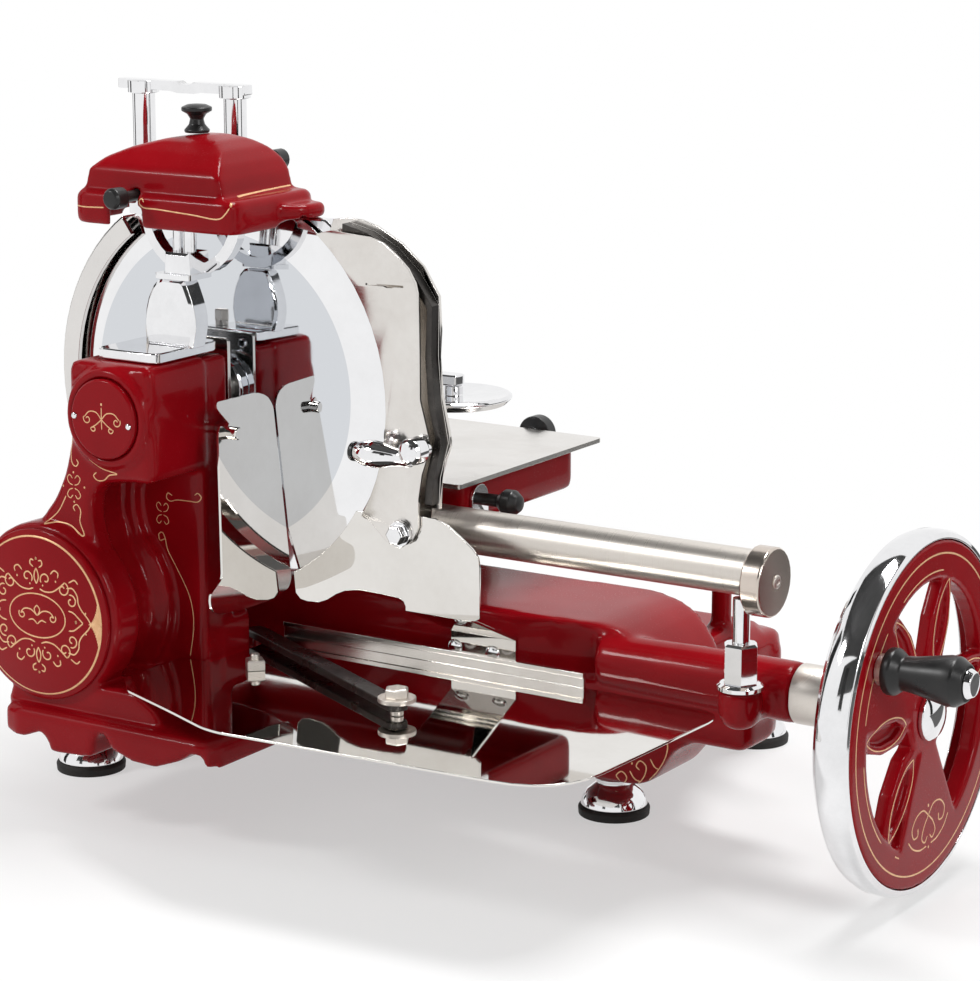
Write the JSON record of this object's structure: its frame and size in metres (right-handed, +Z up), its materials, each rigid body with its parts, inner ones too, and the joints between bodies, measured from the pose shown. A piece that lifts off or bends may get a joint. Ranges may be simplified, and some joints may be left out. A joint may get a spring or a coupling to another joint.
{
  "type": "hand crank meat slicer",
  "caption": "Flywheel-driven slicer with an upright round blade, sliding meat carriage with clamp, gauge plate, lift-off blade sharpener and a receiving tray.",
  "frame": {"origin": "centre of the bounding box's lowest face, on the surface that the feet stand on", "axes": "+X along the flywheel shaft towards the flywheel, +Y from the operator's slice side towards the meat carriage, +Z up"},
  "size_m": [0.6728, 0.466, 0.449],
  "materials": {
    "red_enamel": "deep glossy red enamel over cast metal",
    "stainless": "polished stainless sheet",
    "satin_steel": "satin ground steel",
    "chrome": "mirror chrome plate",
    "dark_steel": "darkened steel bar",
    "black_plastic": "black moulded plastic, satin gloss",
    "rubber": "matte black rubber",
    "stone": "bonded abrasive stone, matte"
  },
  "bodies": {
    "machine": {"foot_pad_front_left": "rubber", "foot_front_left": "chrome", "foot_pad_front_right": "rubber", "foot_front_right": "chrome", "foot_pad_rear_right": "rubber", "foot_rear_right": "chrome", "foot_pad_rear_left": "rubber", "foot_rear_left": "chrome", "column_casting": "red_enamel", "hub_cover": "red_enamel", "drum_cover": "red_enamel", "base_casting": "red_enamel", "blade_guard_ring": "stainless", "slice_deflector": "stainless", "gauge_front_plate": "stainless", "gauge_bracket": "stainless", "receiving_tray": "stainless", "tray_bolt": "satin_steel", "slide_tube": "satin_steel", "tube_end_cap": "satin_steel", "rear_rail": "satin_steel", "oiler": "satin_steel", "shaft_collar": "satin_steel", "gauge_lock_bolt": "chrome", "rail_pillar": "chrome", "sharpener_post": "chrome", "sharpener_yoke": "chrome", "sharpener_stay": "chrome", "tray_arm": "dark_steel"},
    "flywheel": {"flywheel": "red_enamel", "flywheel_rim": "chrome", "hub_cap": "chrome", "main_shaft": "satin_steel", "crank_pin": "satin_steel", "grip_end_cap": "chrome"},
    "crank_grip": {"crank_grip": "black_plastic"},
    "blade": {"blade": "stainless", "blade_clamp_ring": "black_plastic", "blade_shaft": "satin_steel"},
    "carriage": {"carriage": "red_enamel"},
    "carriage_roller": {"carriage_roller": "satin_steel"},
    "meat_table": {"meat_table": "stainless", "clamp_post_left": "chrome", "clamp_post_right": "chrome", "clamp_crossbar": "chrome"},
    "clamp_arm": {"clamp_arm": "chrome"},
    "clamp_lock_knob": {"clamp_lock_knob": "black_plastic"},
    "press_plate": {"press_plate": "chrome"},
    "feed_knob": {"feed_knob": "black_plastic"},
    "table_lock_knob": {"table_lock_knob": "black_plastic"},
    "gauge_plate": {"gauge_back_plate": "stainless"},
    "gauge_lever": {"gauge_lever": "chrome", "gauge_lever_cap": "black_plastic"},
    "sharpener_cover": {"sharpener_cover": "red_enamel", "cover_knob": "black_plastic"},
    "grinding_button": {"grinding_button": "black_plastic"},
    "grinding_stone": {"grinding_stone": "stone"},
    "honing_button": {"honing_button": "black_plastic"},
    "honing_stone": {"honing_stone": "stone"}
  },
  "joints": [
    {"name": "flywheel_spin", "type": "hinge", "parent": "machine", "child": "flywheel", "pos_m": [0.2676, -0.01848, 0.1139], "axis": [1, 0, 0], "continuous": true},
    {"name": "crank_grip_spin", "type": "hinge", "parent": "flywheel", "child": "crank_grip", "pos_m": [0.3016, -0.08557, 0.15747], "axis": [1, 0, 0], "continuous": true},
    {"name": "blade_spin", "type": "hinge", "parent": "machine", "child": "blade", "pos_m": [-0.1884, -0.07068, 0.268], "axis": [0, 1, 0], "continuous": true},
    {"name": "carriage_slide", "type": "slide", "parent": "machine", "child": "carriage", "axis": [1, 0, 0], "range_m": [0, 0.19]},
    {"name": "roller_spin", "type": "hinge", "parent": "carriage", "child": "carriage_roller", "pos_m": [-0.1284, 0.12932, 0.1623], "axis": [0, 1, 0], "range_deg": [0, 730]},
    {"name": "table_cross_slide", "type": "slide", "parent": "carriage", "child": "meat_table", "axis": [0, 1, 0], "range_m": [-0.005, 0.045]},
    {"name": "clamp_lift", "type": "slide", "parent": "meat_table", "child": "clamp_arm", "axis": [0, 0, 1], "range_m": [-0.025, 0.1]},
    {"name": "clamp_lock_turn", "type": "hinge", "parent": "clamp_arm", "child": "clamp_lock_knob", "pos_m": [-0.2804, -0.01068, 0.269], "axis": [0, 1, 0], "range_deg": [0, 360]},
    {"name": "press_plate_spin", "type": "hinge", "parent": "clamp_arm", "child": "press_plate", "pos_m": [-0.0914, 0.04432, 0.255], "axis": [0, 0, 1], "continuous": true},
    {"name": "feed_knob_press", "type": "slide", "parent": "carriage", "child": "feed_knob", "axis": [-1, 0, 0], "range_m": [0, 0.005], "stiffness_N_per_m": 300},
    {"name": "table_lock_turn", "type": "hinge", "parent": "meat_table", "child": "table_lock_knob", "pos_m": [-0.0844, 0.13432, 0.213], "axis": [0, 1, 0], "range_deg": [0, 360]},
    {"name": "gauge_lever_turn", "type": "hinge", "parent": "machine", "child": "gauge_lever", "pos_m": [-0.0284, -0.09468, 0.248], "axis": [0, 1, 0], "range_deg": [0, 90]},
    {"name": "gauge_set", "type": "slide", "parent": "machine", "child": "gauge_plate", "axis": [0, -1, 0], "range_m": [0, 0.0025]},
    {"name": "cover_lift", "type": "slide", "parent": "machine", "child": "sharpener_cover", "axis": [0, 0, 1], "range_m": [0, 0.06]},
    {"name": "grinding_press", "type": "slide", "parent": "machine", "child": "grinding_button", "axis": [0, 1, 0], "range_m": [0, 0.007], "stiffness_N_per_m": 300},
    {"name": "grinding_stone_spin", "type": "hinge", "parent": "grinding_button", "child": "grinding_stone", "pos_m": [-0.2134, -0.08468, 0.3925], "axis": [0, 1, 0], "continuous": true},
    {"name": "honing_press", "type": "slide", "parent": "machine", "child": "honing_button", "axis": [0, -1, 0], "range_m": [0, 0.003], "stiffness_N_per_m": 300},
    {"name": "honing_stone_spin", "type": "hinge", "parent": "honing_button", "child": "honing_stone", "pos_m": [-0.1684, -0.06288, 0.384], "axis": [0, 1, 0], "continuous": true}
  ],
  "couplings": [
    {"joint": "blade_spin", "follows": "flywheel_spin", "ratio": -3},
    {"joint": "roller_spin", "follows": "carriage_slide", "rad_per_m": 66.67},
    {"joint": "gauge_lever_turn", "follows": "gauge_set", "rad_per_m": 628}
  ]
}
